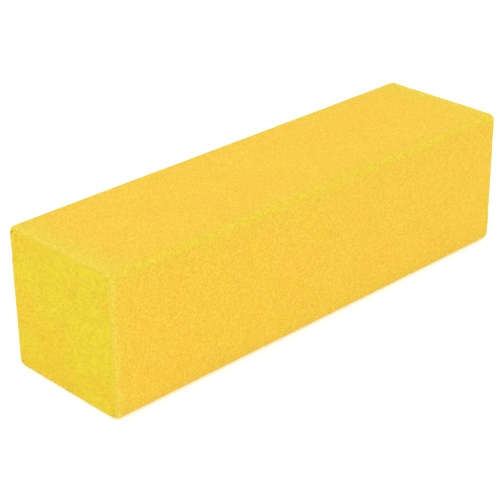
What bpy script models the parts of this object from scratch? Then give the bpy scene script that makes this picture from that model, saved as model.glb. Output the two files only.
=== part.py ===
"""Nail buffer block: a square bar of soft foam with one abrasive sheet glued round its long sides.

Metres, +Z up. The bar lies along X between its two cut ends, and rests on z = 0 under its own middle.
From the inside out it is foam core, adhesive film, backing sheet and abrasive coat. The sheet's two lips
meet in a butt seam along the long edge at +Y, -Z, and every layer dips a little at the two ends, where the
knife pressed it down.
"""

import math

import bmesh
import bpy
from mathutils import Vector

# Outside size of the block.
LENGTH = 0.092  # along X, from one cut end to the other
SIDE = 0.026  # width and height over the abrasive
EDGE_RADIUS = 0.0018  # outside radius of the long edges

# Thickness of each layer, from the outside in.
COAT_THICKNESS = 0.0003  # grit bedded in resin
BACKING_THICKNESS = 0.00025  # latex-saturated backing
ADHESIVE_THICKNESS = 0.00015  # laminating glue
LAYER_GAP = 0.0003  # kept between neighbouring layers, which are bonded on the real block

# The butt seam and the pressed cut ends.
SEAM_WIDTH = 0.0005  # between the two lips of the wrapped sheet
CUT_LENGTH = 0.0008  # how far in from each end the layers start to dip
CUT_DEPTH = 0.00045  # how far the outside has dipped at the end itself
CUT_STEPS = 3  # spans that make up the dip
CORNER_STEPS = 6  # spans round each long edge

SEAM_ANGLE = math.radians(-45)  # direction of the seam from the axis, in the Y-Z plane
HALF_CORNER = math.radians(45)
QUARTER_TURN = math.radians(90)

# How deep below the outside each layer starts.
BACKING_DEPTH = COAT_THICKNESS + LAYER_GAP
ADHESIVE_DEPTH = BACKING_DEPTH + BACKING_THICKNESS + LAYER_GAP
CORE_DEPTH = ADHESIVE_DEPTH + ADHESIVE_THICKNESS + LAYER_GAP

GOLDEN_YELLOW = (0.939, 0.584, 0.056, 1.0)
PALE_CREAM = (0.905, 0.730, 0.240, 1.0)
AMBER = (0.760, 0.560, 0.180, 1.0)
LEMON_YELLOW = (0.855, 0.638, 0.041, 1.0)


def clear_scene():
    for obj in list(bpy.data.objects):
        bpy.data.objects.remove(obj, do_unlink=True)


def arc(centre, radius, start, end, steps):
    """Points (y, z) on an arc about centre, both ends included."""
    turns = [start + (end - start) * step / steps for step in range(steps + 1)]
    return [(centre[0] + radius * math.cos(t), centre[1] + radius * math.sin(t)) for t in turns]


def corner_centre(index):
    """Where a long edge's rounding is centred: 0 is +Y +Z, and 3 is the seam's, +Y -Z."""
    reach = SIDE / 2 - EDGE_RADIUS
    direction = HALF_CORNER + index * QUARTER_TURN
    return (math.copysign(reach, math.cos(direction)), math.copysign(reach, math.sin(direction)))


def whole_outline(depth):
    """The closed outline of the section, this deep below the outside."""
    points = []
    for index in range(4):
        start = index * QUARTER_TURN
        points += arc(corner_centre(index), EDGE_RADIUS - depth, start, start + QUARTER_TURN, CORNER_STEPS)
    return points


def wrapped_outline(depth):
    """The open outline from one lip of the seam round to the other, this deep below the outside."""
    radius = EDGE_RADIUS - depth
    half_slit = math.asin(SEAM_WIDTH / 2 / radius)
    seam_steps = CORNER_STEPS // 2
    points = arc(corner_centre(3), radius, SEAM_ANGLE + half_slit, 0.0, seam_steps)
    for index in range(3):
        start = index * QUARTER_TURN
        points += arc(corner_centre(index), radius, start, start + QUARTER_TURN, CORNER_STEPS)
    return points + arc(corner_centre(3), radius, -QUARTER_TURN, SEAM_ANGLE - half_slit, seam_steps)


def squeeze_at(inset):
    """Scale of the section this far in from a cut end: the outside dips along a parabola."""
    dip = CUT_DEPTH * (1 - inset / CUT_LENGTH) ** 2
    return 1 - dip / (SIDE / 2)


def stations():
    """(x, scale) of each section along the bar, from one cut end to the other."""
    insets = [CUT_LENGTH * step / CUT_STEPS for step in range(CUT_STEPS + 1)]
    near = [(inset - LENGTH / 2, squeeze_at(inset)) for inset in insets]
    far = [(-x, scale) for x, scale in reversed(near)]
    return near + far


def grow_cap(bm, cap, distance, ratio):
    """Extrudes the faces in cap along X, scaling the new end about the axis, and returns the new cap."""
    grown = bmesh.ops.extrude_face_region(bm, geom=cap)["geom"]
    verts = [item for item in grown if isinstance(item, bmesh.types.BMVert)]
    bmesh.ops.translate(bm, verts=verts, vec=Vector((distance, 0, 0)))
    bmesh.ops.scale(bm, verts=verts, vec=Vector((1, ratio, ratio)))
    return [item for item in grown if isinstance(item, bmesh.types.BMFace)]


def extrude_bar(bm):
    """Takes the section's faces, drawn full size at x = 0, and extrudes them through every station."""
    sections = stations()
    first_x, first_scale = sections[0]
    bmesh.ops.translate(bm, verts=bm.verts, vec=Vector((first_x, 0, 0)))
    bmesh.ops.scale(bm, verts=bm.verts, vec=Vector((1, first_scale, first_scale)))
    cap = list(bm.faces)
    for index, (x, scale) in enumerate(sections[1:]):
        last_x, last_scale = sections[index]
        old_cap = cap
        cap = grow_cap(bm, old_cap, x - last_x, scale / last_scale)
        if index > 0:
            bmesh.ops.delete(bm, geom=old_cap, context="FACES")
    bmesh.ops.recalc_face_normals(bm, faces=bm.faces)


def draw_points(bm, outline):
    return [bm.verts.new((0, y, z)) for y, z in outline]


def make_object(name, bm, material):
    mesh = bpy.data.meshes.new(name)
    bm.to_mesh(mesh)
    bm.free()
    mesh.shade_smooth()
    mesh.set_sharp_from_angle(angle=math.radians(50))
    mesh.materials.append(material)
    obj = bpy.data.objects.new(name, mesh)
    obj.location = (0, 0, SIDE / 2)
    bpy.context.scene.collection.objects.link(obj)
    return obj


def make_material(name, colour, roughness):
    material = bpy.data.materials.new(name)
    material.use_nodes = True
    principled = material.node_tree.nodes["Principled BSDF"]
    principled.inputs["Base Color"].default_value = colour
    principled.inputs["Roughness"].default_value = roughness
    principled.inputs["Metallic"].default_value = 0.0
    return material


def make_wrapped_layer(name, depth, thickness, material):
    """One layer of the sheet: a thin band round the section, open at the seam, as long as the block."""
    bm = bmesh.new()
    outer = draw_points(bm, wrapped_outline(depth))
    inner = draw_points(bm, wrapped_outline(depth + thickness))
    for corners in zip(outer, outer[1:], inner[1:], inner, strict=False):
        bm.faces.new(corners)
    extrude_bar(bm)
    return make_object(name, bm, material)


def make_foam_core():
    bm = bmesh.new()
    bm.faces.new(draw_points(bm, whole_outline(CORE_DEPTH)))
    extrude_bar(bm)
    return make_object("foam_core", bm, make_material("foam", LEMON_YELLOW, 0.9))


def make_adhesive_film():
    material = make_material("adhesive", AMBER, 0.35)
    return make_wrapped_layer("adhesive_film", ADHESIVE_DEPTH, ADHESIVE_THICKNESS, material)


def make_backing_sheet():
    material = make_material("backing", PALE_CREAM, 0.8)
    return make_wrapped_layer("backing_sheet", BACKING_DEPTH, BACKING_THICKNESS, material)


def make_abrasive_coat():
    material = make_material("abrasive", GOLDEN_YELLOW, 0.75)
    return make_wrapped_layer("abrasive_coat", 0.0, COAT_THICKNESS, material)


def main():
    clear_scene()
    make_foam_core()
    make_adhesive_film()
    make_backing_sheet()
    make_abrasive_coat()


main()
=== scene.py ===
"""The looks of the nail buffer block: a soft foam bar wrapped in one abrasive sheet.

Metres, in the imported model's frame: X along the block, Z up, the underside on z = 0. The sheet's layers
follow one section, which section_at() draws: a square with rounded long edges, walked from one lip of the
sheet's butt seam, at +Y -Z, round to the other. Each layer is that section at its own depth, drawn at
many stations along X, and the foam bar fills the inside.
"""

import math

import bpy
import numpy as np
from mathutils import Matrix, Vector, noise


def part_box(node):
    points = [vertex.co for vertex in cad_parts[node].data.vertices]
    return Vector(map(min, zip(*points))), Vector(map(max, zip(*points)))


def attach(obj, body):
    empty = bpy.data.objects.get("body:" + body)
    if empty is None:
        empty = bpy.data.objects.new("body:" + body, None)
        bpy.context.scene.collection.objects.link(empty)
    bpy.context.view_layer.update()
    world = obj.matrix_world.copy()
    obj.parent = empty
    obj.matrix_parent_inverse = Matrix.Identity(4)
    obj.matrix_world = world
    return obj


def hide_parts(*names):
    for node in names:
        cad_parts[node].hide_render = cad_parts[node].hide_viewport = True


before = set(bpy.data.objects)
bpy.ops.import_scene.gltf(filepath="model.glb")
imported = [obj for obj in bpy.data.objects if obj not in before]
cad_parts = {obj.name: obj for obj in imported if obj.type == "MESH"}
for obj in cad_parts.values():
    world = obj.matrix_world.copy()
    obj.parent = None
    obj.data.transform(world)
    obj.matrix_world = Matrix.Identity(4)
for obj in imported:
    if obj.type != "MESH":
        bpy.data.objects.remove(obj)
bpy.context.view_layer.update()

BLOCK_LOW, BLOCK_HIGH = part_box("abrasive_coat")
MM = 0.001

SUNK = 0.13 * MM  # from the nominal sides to the mean level of the surface
STAND = 0.05 * MM  # from the floor to that level, as the block rests on its highest grains
HALF_LENGTH = (BLOCK_HIGH[0] - BLOCK_LOW[0]) / 2
HALF_SIDE = (BLOCK_HIGH[1] - BLOCK_LOW[1]) / 2 - SUNK
CENTRE = Vector([(low + high) / 2 for low, high in zip(BLOCK_LOW, BLOCK_HIGH)])
CENTRE.z = BLOCK_LOW[2] + HALF_SIDE + STAND

# Section.
EDGE_RADIUS = 1.3 * MM  # outside radius of the long edges
REACH = HALF_SIDE - EDGE_RADIUS  # from the axis to the middle of a long edge's rounding
QUARTER = EDGE_RADIUS * math.pi / 2  # round one long edge
LAP = 2 * REACH + QUARTER  # one side and one long edge
GIRTH = 4 * LAP

# Layers, from the outside in. They are bonded, so only a hair is left between them.
COAT = 0.20 * MM
BACKING = 0.14 * MM
GLUE = 0.05 * MM
BOND = 0.01 * MM
BACKING_DEPTH = COAT + BOND
GLUE_DEPTH = BACKING_DEPTH + BACKING + BOND
FOAM_DEPTH = GLUE_DEPTH + GLUE + BOND

# The cut ends: the knife pressed the layers down before it went through.
CUT_LENGTH = 0.8 * MM  # how far in from each end the layers dip
CUT_DEPTH = 0.36 * MM  # how far the outside has dipped at the cut itself
CUT_SCALE = 1 - CUT_DEPTH / HALF_SIDE  # of the foam's section at the cut
TRIM_REACH = 1.2 * MM  # how far in from each end the layers' ragged rims move the rows of their meshes
GLUE_TRIM = 0.07 * MM  # the most that the glue stops short of the cut: the foam's sides dip that much later
FOAM_PROUD = 0.02 * MM  # how far the walls of the foam's cells stand out of the cut

# The seam's width between the two lips of each layer, measured round the outside.
SEAM = 0.12 * MM
BACKING_SEAM = SEAM * 0.8
GLUE_SEAM = SEAM * 0.5

# The long edge at -Y -Z is the softest of the four: rubbed in, and a little more so towards -X.
RUBBED = 0.23 * MM
RUBBED_FADE = 0.25  # how much less of it there is at +X
RUBBED_WHOLE = 0.8 * MM  # from the edge to where it starts to fade into the flat sides
RUBBED_REACH = 3.2 * MM  # from the edge to where the flat sides are full again

# The foam's cut cells, in millimetres: about how wide they are, and how deep.
BIG_CELL = 0.52
BIG_PIT = 0.115
SMALL_CELL = 0.24
SMALL_PIT = 0.03

# Meshes.
GRIT_PITCH = 0.36 * MM  # round the section, and of the coat's rows
HIDDEN_SPARSE = 8  # the coat's inside keeps one column in this many on its flat sides
CELL_STEPS = 186  # along each side of the foam's cut ends
CREASE = math.radians(60)  # edges sharper than this aren't shaded smooth
SEED = 11


# ---------------------------------------------------------------- shape


def turned(pairs, angle):
    """Each (y, z) pair turned about the axis by its own angle."""
    cos, sin = np.cos(angle), np.sin(angle)
    y, z = pairs.T
    return np.stack([cos * y - sin * z, sin * y + cos * z], 1)


def section_at(run):
    """(spine, normal), each N x 2 in (y, z), at these distances round the outside from the seam's middle."""
    turn_index, along = np.divmod(np.asarray(run) + QUARTER / 2, LAP)
    angle = -math.pi / 2 + np.clip(along, 0, QUARTER) / EDGE_RADIUS
    slide = np.clip(along - QUARTER, 0, None)
    spine = np.stack([np.full_like(slide, REACH), slide - REACH], 1)
    normal = np.stack([np.cos(angle), np.sin(angle)], 1)
    swing = turn_index * math.pi / 2
    return turned(spine, swing), turned(normal, swing)


def dip_at(inset):
    """How far the outside has sunk, this far in from a cut end."""
    return CUT_DEPTH * np.clip(1 - np.asarray(inset) / CUT_LENGTH, 0, 1) ** 2


def ease(value, low, high):
    """0 at low and 1 at high, with a smooth start and finish."""
    t = np.clip((value - low) / (high - low), 0, 1)
    return t * t * (3 - 2 * t)


def perlin(points, wavelength, offset):
    """Smooth noise from about -1 to 1 at each point."""
    shift = Vector((offset, 2 * offset, -offset))
    return np.array([noise.noise(Vector(p) / wavelength + shift) for p in points])


def stations(fine_step, fine_length, step):
    """Distances along X from one cut end to the other, closer together near the ends."""
    near = np.arange(0, fine_length, fine_step)
    last = 2 * HALF_LENGTH - fine_length
    middle = np.linspace(fine_length, last, round((last - fine_length) / step) + 1)
    return np.concatenate([near, middle, (2 * HALF_LENGTH - near)[::-1]]) - HALF_LENGTH


def columns_of(gap):
    """Distances round the outside, from lip to lip of a seam this wide."""
    start, stop = gap / 2, GIRTH - gap / 2
    return np.linspace(start, stop, round((stop - start) / GRIT_PITCH) + 1)


def rub_edge(points):
    """Presses the long edge at -Y -Z inwards, the same way through every layer."""
    x, y, z = (points - np.array(CENTRE)).T
    from_edge = 2 * HALF_SIDE + y + z
    fade = 1 - RUBBED_FADE * ease(x, -HALF_LENGTH, HALF_LENGTH)
    push = RUBBED * fade * (1 - ease(from_edge, RUBBED_WHOLE, RUBBED_REACH)) / math.sqrt(2)
    return points + np.stack([0 * push, push, push], 1)


def add_piece(name, points, faces, material):
    """One piece of the block, riding on its only body."""
    mesh = bpy.data.meshes.new(name)
    mesh.from_pydata(rub_edge(points).tolist(), [], [list(map(int, face)) for face in faces])
    mesh.validate()
    mesh.shade_smooth()
    mesh.set_sharp_from_angle(angle=CREASE)
    mesh.materials.append(material)
    piece = bpy.data.objects.new(name, mesh)
    bpy.context.scene.collection.objects.link(piece)
    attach(piece, "root")
    return piece


def grid_faces(index):
    """Quads between the points of a grid, given their numbers row by row."""
    return np.stack([index[:-1, :-1], index[:-1, 1:], index[1:, 1:], index[1:, :-1]], -1).reshape(-1, 4)


def band_faces(index, width, kept):
    """The faces of a closed band, given the numbers of its points row by row.

    Each row has width points on the outside. Then it goes back along the inside, which has a point under
    each of the outside's points that kept lists.
    """
    around = np.concatenate([index, index[:, :1]], 1)
    faces = grid_faces(around).tolist()
    for row, backwards in ((0, False), (len(index) - 1, True)):
        for step, (start, stop) in enumerate(zip(kept, kept[1:])):
            below = width + len(kept) - 1 - step
            outer = [index[row, i] for i in range(start, stop + 1)]
            cap = outer + [index[row, below - 1], index[row, below]]
            faces.append(cap if backwards else cap[::-1])
    return faces


def trimmed(section, rows, run, end_trim):
    """Adds x to a layer's points, row by row, and draws the rows near a cut end back to its ragged rim."""
    trim = np.where(rows[:, None] < 0, end_trim(run, -1)[None], -end_trim(run, 1)[None])
    inset = HALF_LENGTH - np.abs(rows)
    x = rows[:, None] + trim * (1 - ease(inset, 0, TRIM_REACH))[:, None]
    return np.concatenate([x[..., None], section], -1)


def no_lift(points):
    """For a layer whose outside is hidden."""
    return np.zeros(len(points))


def wrap_layer(name, material, rows, columns, depth, thickness, end_trim, lift=no_lift, sparse=1):
    """A closed band round the section, open at the seam.

    end_trim(run, sign) is how far short of the cut end the layer stops, and lift(points) raises the outside
    along its normal. On the flat sides the inside keeps only each sparse-th column.
    """
    spine, normal = section_at(columns)
    flat = (columns + QUARTER / 2) % LAP > QUARTER
    ends = (0, len(columns) - 1)
    kept = [i for i in range(len(columns)) if not flat[i] or i % sparse == 0 or i in ends]
    sunk = dip_at(HALF_LENGTH - np.abs(rows))[:, None, None]
    reach = EDGE_RADIUS - depth
    outside = spine[None] + normal[None] * (reach - sunk)
    outside = trimmed(outside, rows, columns, end_trim)
    outside[..., 1:] += normal[None] * lift(outside.reshape(-1, 3)).reshape(len(rows), -1, 1)
    inside = spine[None, kept] + normal[None, kept] * (reach - thickness - sunk)
    inside = trimmed(inside, rows, columns[kept], end_trim)
    ring = np.concatenate([outside, inside[:, ::-1]], 1)
    points = ring.reshape(-1, 3) + np.array(CENTRE)
    index = np.arange(len(points)).reshape(ring.shape[:2])
    return add_piece(name, points, band_faces(index, len(columns), kept), material)


# ---------------------------------------------------------------- pieces


def grit_lift(points):
    """The coat's relief: the sheet's long, shallow swells, and grains, which are worn near the cuts."""
    waves = 0.035 * MM * perlin(points, 11 * MM, 3.1) + 0.012 * MM * perlin(points, 3.5 * MM, 8.2)
    grains = np.random.default_rng(SEED).normal(0, 1, len(points))
    clumps = perlin(points, 0.9 * MM, 1.7)
    from_end = HALF_LENGTH - np.abs(points[:, 0])
    worn = 1 - 0.6 * (1 - ease(from_end, 0, 1.5 * MM))
    return waves + worn * (0.009 * MM * np.clip(grains, -2, 2) + 0.008 * MM * clumps)


def rim_places(run, aside):
    """Where to read the noise for a rim. Each rim has its own aside, so that no two are alike."""
    return np.stack([run, np.full_like(run, aside), np.zeros_like(run)], 1)


def coat_trim(run, sign):
    """The knife chips the brittle grit layer, so its rim stops short here and there."""
    places = rim_places(run, sign * 0.02)
    ragged = 0.04 * MM * perlin(places, 0.8 * MM, 5.0)
    chips = 0.12 * MM * ease(perlin(places, 2.6 * MM, 9.0), 0.15, 0.5)
    return 0.09 * MM + ragged + chips


def backing_trim(run, sign):
    """The backing frays a little all along its rim."""
    return 0.03 * MM + 0.03 * MM * perlin(rim_places(run, sign * 0.03), 0.6 * MM, 4.0)


def glue_trim(run, sign):
    """The glue's rim wanders in longer waves."""
    return 0.02 * MM + 0.05 * MM * perlin(rim_places(run, sign * 0.04), 1.4 * MM, 6.0)


def make_abrasive_coat(material):
    coat = wrap_layer(
        "abrasive_grit_wrap",
        material,
        rows=stations(fine_step=0.12 * MM, fine_length=1.32 * MM, step=GRIT_PITCH),
        columns=columns_of(SEAM),
        depth=0.0,
        thickness=COAT,
        end_trim=coat_trim,
        lift=grit_lift,
        sparse=HIDDEN_SPARSE,
    )
    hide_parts("abrasive_coat")
    return coat


def hidden_layer(name, material, gap, depth, thickness, end_trim):
    """A layer of which only the rims show, at the cuts, so that its sides need few rows."""
    rows = stations(fine_step=0.2 * MM, fine_length=1.4 * MM, step=6 * MM)
    return wrap_layer(name, material, rows, columns_of(gap), depth, thickness, end_trim)


def make_backing(material):
    name = "latex_backing_sheet"
    backing = hidden_layer(name, material, BACKING_SEAM, BACKING_DEPTH, BACKING, backing_trim)
    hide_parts("backing_sheet")
    return backing


def make_glue(material):
    glue = hidden_layer("laminating_glue_line", material, GLUE_SEAM, GLUE_DEPTH, GLUE, glue_trim)
    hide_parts("adhesive_film")
    return glue


def rounded_square(grid):
    """Maps a square grid from -1 to 1 onto the foam's section, in metres.

    The grid stays square in the middle, and takes on the section's rounded corners towards the rim.
    """
    radius = EDGE_RADIUS - FOAM_DEPTH
    size = np.abs(grid).max(1)
    safe = np.where(size > 0, size, 1)
    rim = np.where(size[:, None] > 0, grid / safe[:, None], (1.0, 0.0))
    ray = rim / np.linalg.norm(rim, axis=1, keepdims=True)
    u, v = np.abs(ray).max(1), np.abs(ray).min(1)
    half = REACH + radius
    straight = half / u
    across = REACH * (u + v)
    corner = across + np.sqrt(np.maximum(across**2 - 2 * REACH**2 + radius**2, 0))
    distance = np.where(straight * v <= REACH, straight, corner)
    shrink = distance / (half * np.linalg.norm(rim, axis=1))
    return grid * half * (1 + (shrink - 1) * size**6)[:, None]


def cut_cell(place):
    """(depth, openness) of the foam's cut cells at a place. Both place and depth are in millimetres."""
    warp = 0.25 * Vector((0, noise.noise(place * 1.3), noise.noise(place * 1.3 + Vector((9, 0, 0)))))
    big, seeds = noise.voronoi((place + warp) / BIG_CELL)
    small, _ = noise.voronoi((place + warp) / SMALL_CELL)
    inside = min((big[1] - big[0]) / 0.42, 1.0)  # 0 on the cell's wall, and 1 well inside it
    fate = 0.5 + 0.5 * noise.noise(seeds[0] * 3.7)  # how open the knife left this cell
    openness = inside * inside * (3 - 2 * inside) * (0.35 + 0.9 * fate)
    depth = BIG_PIT * openness + SMALL_PIT * min((small[1] - small[0]) / 0.5, 1.0)
    return depth, openness


def end_face(sign):
    """The points of one cut face, row by row, and how open the foam's cells are at each.

    The two ends read their noise at different places, so that they aren't alike.
    """
    ticks = np.linspace(-1, 1, CELL_STEPS + 1)
    grid = np.stack(np.meshgrid(ticks, ticks, indexing="ij"), -1).reshape(-1, 2)
    section = rounded_square(grid)
    cells = np.array([cut_cell(Vector((sign * 7.7, y / MM, z / MM))) for y, z in section])
    places = np.concatenate([np.full((len(section), 1), sign * 0.1), section], 1)
    swell = 0.05 * MM * perlin(places, 9 * MM, 2.0) + 0.02 * MM * perlin(places, 2.5 * MM, 7.0)
    outwards = np.abs(grid).max(1)  # 0 in the middle and 1 at the rim
    pits = cells[:, 0] * MM * (1 - 0.8 * ease(outwards, 0.97, 1.0))
    rolled = 0.01 * MM * ease(outwards, 0.98, 1.0)
    depth = pits + rolled + swell * (1 - 0.8 * ease(outwards, 0.9, 1.0))
    x = sign * (HALF_LENGTH + FOAM_PROUD - depth)
    return np.concatenate([x[:, None], section * CUT_SCALE], 1), cells[:, 1]


def rim_of(grid):
    """The numbers of a grid's outer points, in order round it."""
    return np.concatenate([grid[:-1, 0], grid[-1, :-1], grid[:0:-1, -1], grid[0, :0:-1]])


def side_rings(section):
    """The foam's sides between its cut faces, ring by ring. The section is the one away from the cuts."""
    inset = np.array([GLUE_TRIM, 0.35 * MM, 0.7 * MM, 1.0 * MM, 6 * MM, 20 * MM])
    places = np.concatenate([inset - HALF_LENGTH, (HALF_LENGTH - inset)[::-1]])
    scale = 1 - dip_at(HALF_LENGTH - np.abs(places) - GLUE_TRIM) / HALF_SIDE
    return [np.concatenate([np.full((len(section), 1), x), section * k], 1) for x, k in zip(places, scale)]


def make_foam(material):
    """The foam bar: two cut faces with open cells, joined by the sides, which the sheet covers."""
    low_face, low_open = end_face(-1)
    high_face, high_open = end_face(1)
    count = len(low_face)
    grid = np.arange(count).reshape(CELL_STEPS + 1, CELL_STEPS + 1)
    rim = rim_of(grid)
    rings = side_rings(low_face[rim, 1:] / CUT_SCALE)
    points = np.concatenate([low_face, high_face, *rings])
    ring_loops = [2 * count + i * len(rim) + np.arange(len(rim)) for i in range(len(rings))]
    loops = [rim] + ring_loops + [count + rim]
    sides = np.array([np.append(loop, loop[0]) for loop in loops])
    faces = np.concatenate([grid_faces(grid), grid_faces(count + grid)[:, ::-1], grid_faces(sides)])
    foam = add_piece("foam_bar", points + np.array(CENTRE), faces, material)
    openness = np.concatenate([low_open, high_open, np.zeros(len(points) - 2 * count)])
    cells = foam.data.attributes.new("cell_open", "FLOAT", "POINT")
    cells.data.foreach_set("value", openness.astype(np.float32))
    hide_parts("foam_core")
    return foam


# ---------------------------------------------------------------- materials


class Tree:
    """A material, and a short call for each kind of node it uses. The calls take sockets or values."""

    def __init__(self, name):
        self.material = bpy.data.materials.new(name)
        self.material.use_nodes = True
        self.nodes = self.material.node_tree.nodes
        self.links = self.material.node_tree.links
        self.shader = self.nodes["Principled BSDF"]
        place = self.add("ShaderNodeTexCoord").outputs["Object"]
        scale = self.add("ShaderNodeVectorMath", {0: place, 1: (1 / MM,) * 3}, operation="MULTIPLY")
        in_mm = scale.outputs[0]
        self.x, self.y, self.z = self.add("ShaderNodeSeparateXYZ", {0: in_mm}).outputs
        # Textures are read askew, which keeps the noise's lattice off the flat faces.
        turn = {"Vector": in_mm, "Rotation": (0.6, 0.45, 0.5)}
        self.askew = self.add("ShaderNodeMapping", turn).outputs[0]

    def add(self, kind, inputs=None, **settings):
        """A new node, its inputs given by name or number, and its settings by name."""
        node = self.nodes.new(kind)
        for name, value in settings.items():
            setattr(node, name, value)
        for name, value in (inputs or {}).items():
            self.feed(node.inputs[name], value)
        return node

    def feed(self, socket, value):
        """Links a socket to another, or sets it."""
        if isinstance(value, bpy.types.NodeSocket):
            self.links.new(value, socket)
        else:
            socket.default_value = value

    def math(self, operation, a, b=0.0):
        return self.add("ShaderNodeMath", {0: a, 1: b}, operation=operation).outputs[0]

    def noise(self, per_mm, detail, roughness, shift=0.0):
        """Smooth noise from 0 to 1. The shift keeps two of a material's noises from looking alike."""
        place = self.add("ShaderNodeVectorMath", {0: self.askew, 1: (shift,) * 3}, operation="ADD").outputs[0]
        inputs = {"Vector": place, "Scale": per_mm, "Detail": detail, "Roughness": roughness}
        return self.add("ShaderNodeTexNoise", inputs).outputs["Fac"]

    def ramp(self, value, low, high, start=0.0, stop=1.0):
        """Goes smoothly from start, where the value is low, to stop, where it is high."""
        inputs = {"Value": value, "From Min": low, "From Max": high, "To Min": start, "To Max": stop}
        return self.add("ShaderNodeMapRange", inputs, interpolation_type="SMOOTHSTEP").outputs["Result"]

    def mix(self, factor, a, b):
        """Colour a where the factor is 0, and b where it is 1."""
        node = self.add("ShaderNodeMix", data_type="RGBA")
        for number, value in ((0, factor), (6, a), (7, b)):
            self.feed(node.inputs[number], value)
        return node.outputs[2]

    def brighten(self, colour, factor):
        """Multiplies the colour by a number socket."""
        return self.add("ShaderNodeVectorMath", {0: colour, "Scale": factor}, operation="SCALE").outputs[0]

    def cells(self, per_mm):
        """Irregular cells: the distance from a cell's middle, and a shade of each cell's own."""
        node = self.add("ShaderNodeTexVoronoi", {"Vector": self.askew, "Scale": per_mm}, feature="F1")
        own = self.add("ShaderNodeSeparateColor", {0: node.outputs["Color"]}).outputs["Red"]
        return node.outputs["Distance"], own

    def from_wall(self, per_mm):
        """The distance from the walls between those cells."""
        inputs = {"Vector": self.askew, "Scale": per_mm}
        return self.add("ShaderNodeTexVoronoi", inputs, feature="DISTANCE_TO_EDGE").outputs["Distance"]

    def blend(self, *parts):
        """The sum of (socket, weight) pairs."""
        total = None
        for socket, weight in parts:
            part = self.math("MULTIPLY", socket, weight)
            total = part if total is None else self.math("ADD", total, part)
        return total

    def speckle(self, colour, factor, spread):
        """Dark and pale specks. The spread is per channel, most in blue, so that the pale ones are whitish:
        partly a tint of their own, and partly painted glints.
        """
        dark = tuple(1 - part for part in spread) + (1.0,)
        pale = tuple(1 + part for part in spread) + (1.0,)
        tint = self.mix(factor, dark, pale)
        return self.add("ShaderNodeVectorMath", {0: colour, 1: tint}, operation="MULTIPLY").outputs[0]

    def bump(self, height, strength, distance, before=None):
        """A normal raised by a height socket. before is the normal of the relief under it."""
        inputs = {"Height": height, "Strength": strength, "Distance": distance}
        if before is not None:
            inputs["Normal"] = before
        return self.add("ShaderNodeBump", inputs).outputs[0]

    def finish(self, colour, roughness, normal=None, **constants):
        """Feeds the shader. constants are what is the same all over, named after their sockets."""
        self.links.new(colour, self.shader.inputs["Base Color"])
        self.links.new(roughness, self.shader.inputs["Roughness"])
        if normal is not None:
            self.links.new(normal, self.shader.inputs["Normal"])
        for name, value in constants.items():
            self.shader.inputs[name.replace("_", " ")].default_value = value
        return self.material


def linear(red, green, blue):
    """A colour given as sRGB from 0 to 255."""
    parts = [c / 255 for c in (red, green, blue)]
    return tuple(c / 12.92 if c <= 0.04045 else ((c + 0.055) / 1.055) ** 2.4 for c in parts) + (1.0,)


GOLD = linear(225, 184, 41)
ORANGE_GOLD = linear(226, 181, 39)
DULL_GOLD = linear(219, 184, 40)
LEMON = linear(215, 190, 37)
CHALK = linear(220, 200.5, 71)
BACKING_CREAM = linear(217, 194, 46)
GLUE_AMBER = linear(225, 196, 44)
FOAM_LEMON = linear(223, 201, 30)
FOAM_AMBER = linear(226, 192, 32)
# The darker colour of the foam's open cells: painted shade in the pits.
FOAM_PIT_SHADE = linear(211, 183, 23)
FLOOR_WHITE = (0.72, 0.72, 0.72, 1.0)
FLOOR_HAZE = (0.70, 0.70, 0.70, 1.0)
WHITE = (1.0, 1.0, 1.0, 1.0)
FLOOR_GLOW = 0.44  # the floor is a translucent table, lit faintly from below

# Textures' cells per millimetre.
GRAINS = 5.5
CRUMBS = 9.5
PORES = 4.4


def abrasive_zones(tree):
    """The coat's colour without its grain: duller by the long edges, lemon and chalky by the cuts, and with a
    painted highlight in lemon along the rounded long edges.
    """
    from_end = tree.math("SUBTRACT", HALF_LENGTH / MM, tree.math("ABSOLUTE", tree.x))
    across = tree.math("ABSOLUTE", tree.y)
    up = tree.math("ABSOLUTE", tree.math("SUBTRACT", tree.z, CENTRE.z / MM))
    to_edge = tree.math("SUBTRACT", HALF_SIDE / MM, tree.math("MINIMUM", across, up))
    below_top = tree.ramp(tree.z, BLOCK_HIGH[2] / MM, BLOCK_HIGH[2] / MM - 3.0)
    mottle = tree.ramp(tree.noise(0.13, 3.0, 0.55), 0.35, 0.65)
    wander = tree.noise(0.5, 3.0, 0.6, 40.0)
    rubbed = tree.ramp(tree.blend((to_edge, 1.0), (wander, 1.0)), 0.5, 5.5, 0.8, 0.0)
    # A lemon band along the rounded long edges: a painted highlight.
    painted_edge_highlight = tree.ramp(tree.blend((to_edge, 1.0), (wander, 0.5)), 0.3, 1.5, 0.9, 0.0)
    end_range = tree.blend((from_end, 1.0), (wander, 3.0), (below_top, 4.5))
    near_end = tree.ramp(end_range, 1.0, 10.5, 0.8, 0.0)
    cut_range = tree.blend((from_end, 1.0), (wander, 0.8), (below_top, 1.0))
    by_the_cut = tree.ramp(cut_range, 1.0, 3.0, 1.0, 0.0)
    chalky = tree.math("MULTIPLY", by_the_cut, tree.ramp(below_top, 0.0, 1.0, 0.28, 0.5))
    colour = tree.mix(mottle, GOLD, ORANGE_GOLD)
    colour = tree.mix(rubbed, colour, DULL_GOLD)
    colour = tree.mix(tree.math("MAXIMUM", painted_edge_highlight, near_end), colour, LEMON)
    return tree.mix(chalky, colour, CHALK)


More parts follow.
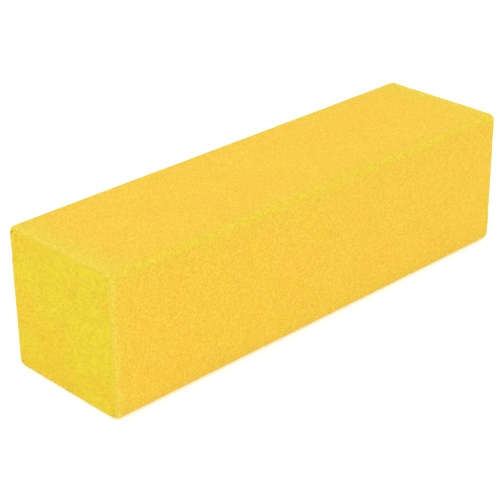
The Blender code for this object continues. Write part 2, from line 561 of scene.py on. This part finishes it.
def abrasive_material():
    tree = Tree("golden_abrasive")
    colour = abrasive_zones(tree)
    clumps = tree.noise(2.4, 2.0, 0.6)
    specks = tree.noise(1.4, 1.0, 0.5, 17.0)
    drift = tree.noise(0.45, 2.0, 0.6, 23.0)
    grain_dome, grain_shade = tree.cells(GRAINS)
    crumb_dome, crumb_shade = tree.cells(CRUMBS)
    tone = tree.blend((grain_shade, 0.3), (clumps, 0.46), (specks, 0.16), (drift, 0.08))
    colour = tree.speckle(colour, tree.ramp(tone, 0.3, 0.7), (0.05, 0.11, 0.55))
    # Painted shade between the grains, where the bump sinks, and a painted highlight on their raised tops.
    between = tree.ramp(grain_dome, 0.35, 0.75, 1.04, 0.96)
    crumbs = tree.ramp(crumb_shade, 0.1, 0.9, 0.95, 1.09)
    colour = tree.brighten(colour, tree.math("MULTIPLY", between, crumbs))
    rough = tree.ramp(grain_shade, 0.2, 0.8, 0.92, 0.72)
    normal = tree.bump(grain_dome, 0.7, -0.06 * MM)
    normal = tree.bump(crumb_dome, 0.7, -0.04 * MM, normal)
    normal = tree.bump(clumps, 0.35, 0.05 * MM, normal)
    return tree.finish(colour, rough, normal)


def foam_material():
    tree = Tree("lemon_foam")
    openness = tree.add("ShaderNodeAttribute", attribute_name="cell_open").outputs["Fac"]
    slant = tree.math("MULTIPLY", tree.math("SUBTRACT", tree.y, tree.z), 0.006)
    mottle = tree.ramp(tree.math("ADD", tree.noise(0.16, 1.0, 0.5, 5.0), slant), 0.25, 0.58)
    colour = tree.mix(mottle, FOAM_LEMON, FOAM_AMBER)
    # Open, deep cells are darkened towards it: painted shade.
    colour = tree.mix(tree.math("MULTIPLY", openness, 0.4), colour, FOAM_PIT_SHADE)
    fine = tree.noise(3.3, 2.0, 0.65)
    _, pore_shade = tree.cells(PORES)
    tone = tree.blend((pore_shade, 0.3), (fine, 0.7))
    colour = tree.speckle(colour, tree.ramp(tone, 0.3, 0.7), (0.06, 0.075, 1.0))
    inside_pore = tree.ramp(tree.from_wall(PORES), 0.03, 0.2)
    pit = tree.math("MULTIPLY", inside_pore, tree.ramp(pore_shade, 0.2, 0.9))
    # Cell walls paler and pore insides darker: a painted highlight and painted shade.
    colour = tree.brighten(colour, tree.ramp(pit, 0.0, 1.0, 1.05, 0.92))
    rough = tree.ramp(fine, 0.3, 0.7, 0.98, 0.82)
    normal = tree.bump(pit, 0.7, -0.07 * MM)
    normal = tree.bump(fine, 0.3, 0.05 * MM, normal)
    return tree.finish(colour, rough, normal)


def backing_material():
    tree = Tree("cream_latex_backing")
    fibres = tree.noise(3.0, 4.0, 0.6)
    blotch = tree.noise(0.6, 2.0, 0.5, 12.0)
    colour = tree.mix(tree.ramp(blotch, 0.35, 0.65), BACKING_CREAM, LEMON)
    colour = tree.brighten(colour, tree.math("ADD", tree.math("MULTIPLY", fibres, 0.16), 0.92))
    rough = tree.ramp(fibres, 0.3, 0.7, 0.9, 0.72)
    return tree.finish(colour, rough, tree.bump(fibres, 0.4, 0.04 * MM))


def glue_material():
    tree = Tree("amber_laminating_glue")
    beads = tree.noise(1.8, 3.0, 0.5)
    colour = tree.mix(tree.ramp(beads, 0.35, 0.65), GLUE_AMBER, FOAM_AMBER)
    rough = tree.ramp(beads, 0.3, 0.7, 0.35, 0.6)
    return tree.finish(colour, rough, tree.bump(beads, 0.3, 0.05 * MM))


def floor_material():
    tree = Tree("studio_white")
    haze = tree.noise(0.02, 2.0, 0.5)
    colour = tree.mix(haze, FLOOR_WHITE, FLOOR_HAZE)
    glow = {"Emission_Color": WHITE, "Emission_Strength": FLOOR_GLOW}
    return tree.finish(colour, tree.ramp(haze, 0.3, 0.7, 0.9, 0.8), **glow)


# ---------------------------------------------------------------- studio

CAMERA_AZIMUTH = math.radians(-43.72)
CAMERA_ELEVATION = math.radians(26.37)
CAMERA_ROLL = math.radians(-0.73)
CAMERA_DISTANCE = 274.1 * MM
CAMERA_SLIDE = (-3.590 * MM, -3.064 * MM)  # right and up, so that the block sits in the frame as it should
CAMERA_SENSOR = 36  # width in millimetres
CAMERA_LENS = 112.55  # focal length in millimetres

FLOOR_REACH = 6.0  # metres from the block to each side of the floor
FLOOR_STEPS = 24
COVE_START = 3.0  # metres from the block to where the floor starts to rise
COVE_RISE = 0.02


def add_camera():
    flat = math.cos(CAMERA_ELEVATION)
    east, north = math.sin(CAMERA_AZIMUTH) * flat, -math.cos(CAMERA_AZIMUTH) * flat
    back = Vector((east, north, math.sin(CAMERA_ELEVATION)))
    level = Vector((0, 0, 1)).cross(back).normalized()
    upright = back.cross(level)
    right = level * math.cos(CAMERA_ROLL) + upright * math.sin(CAMERA_ROLL)
    up = back.cross(right)
    data = bpy.data.cameras.new("camera")
    data.sensor_width = CAMERA_SENSOR
    data.lens = CAMERA_LENS
    data.clip_start = 0.01
    data.clip_end = 100
    camera = bpy.data.objects.new("camera", data)
    place = CENTRE + back * CAMERA_DISTANCE + right * CAMERA_SLIDE[0] + up * CAMERA_SLIDE[1]
    camera.matrix_world = Matrix.Translation(place) @ Matrix((right, up, back)).transposed().to_4x4()
    bpy.context.scene.collection.objects.link(camera)
    bpy.context.scene.camera = camera


def add_softbox(name, direction, distance, size, power):
    """A square area light facing the block from this direction."""
    data = bpy.data.lights.new(name, "AREA")
    data.size = size
    data.energy = power
    lamp = bpy.data.objects.new(name, data)
    aim = Vector(direction).normalized()
    lamp.location = CENTRE + aim * distance
    lamp.rotation_mode = "QUATERNION"
    lamp.rotation_quaternion = aim.to_track_quat("Z", "Y")
    lamp.visible_camera = False
    bpy.context.scene.collection.objects.link(lamp)


def add_world(strength):
    """White all round, which is also the background."""
    world = bpy.data.worlds.new("studio")
    world.use_nodes = True
    background = world.node_tree.nodes["Background"]
    background.inputs["Color"].default_value = WHITE
    background.inputs["Strength"].default_value = strength
    bpy.context.scene.world = world


def floor_height(x, y):
    """Flat round the block, and rising further out."""
    return COVE_RISE * max(0.0, math.hypot(x, y) - COVE_START) ** 2


def add_floor():
    """A wide floor that coves up all round, so that it has no visible end."""
    ticks = np.linspace(-FLOOR_REACH, FLOOR_REACH, FLOOR_STEPS + 1)
    points = np.array([(x, y, floor_height(x, y)) for x in ticks for y in ticks])
    grid = np.arange(len(points)).reshape(FLOOR_STEPS + 1, FLOOR_STEPS + 1)
    mesh = bpy.data.meshes.new("studio_floor")
    mesh.from_pydata(points.tolist(), [], grid_faces(grid)[:, ::-1].tolist())
    mesh.materials.append(floor_material())
    mesh.shade_smooth()
    floor = bpy.data.objects.new("studio_floor", mesh)
    bpy.context.scene.collection.objects.link(floor)


def main():
    bpy.context.scene.view_settings.view_transform = "Standard"
    add_camera()
    add_world(strength=1.0)
    add_softbox("key_softbox", direction=(-0.4, -0.4, 1.5), distance=1.0, size=0.8, power=3.4)
    add_floor()
    foam = make_foam(foam_material())
    glue = make_glue(glue_material())
    backing = make_backing(backing_material())
    coat = make_abrasive_coat(abrasive_material())


main()
